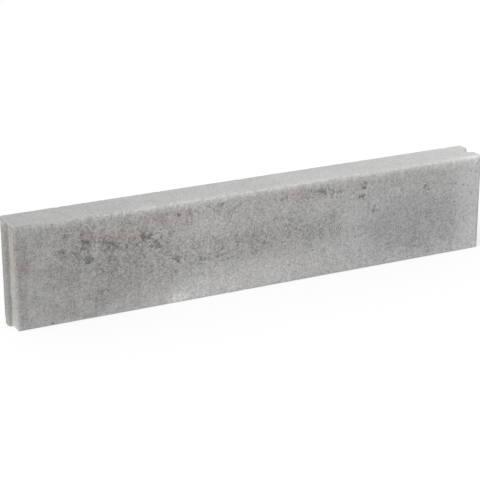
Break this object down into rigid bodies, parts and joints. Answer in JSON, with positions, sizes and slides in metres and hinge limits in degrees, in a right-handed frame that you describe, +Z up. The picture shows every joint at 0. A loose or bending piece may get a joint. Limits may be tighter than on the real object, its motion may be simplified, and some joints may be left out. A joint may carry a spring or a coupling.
{
  "type": "concrete kerb stone",
  "caption": "Straight precast concrete kerb stone with one rounded top edge, a tongue on one end and a matching groove in the other.",
  "frame": {"origin": "centre of the underside, halfway between the two end shoulders", "axes": "+X along the stone towards the grooved end, +Y from the front face towards the back face, +Z up; the front face is the one under the rounded top edge"},
  "size_m": [1.01, 0.08, 0.2],
  "materials": {
    "concrete": "matt, fine-grained, dry-cast"
  },
  "bodies": {
    "root": {"kerb_stone": "concrete"}
  },
  "joints": []
}
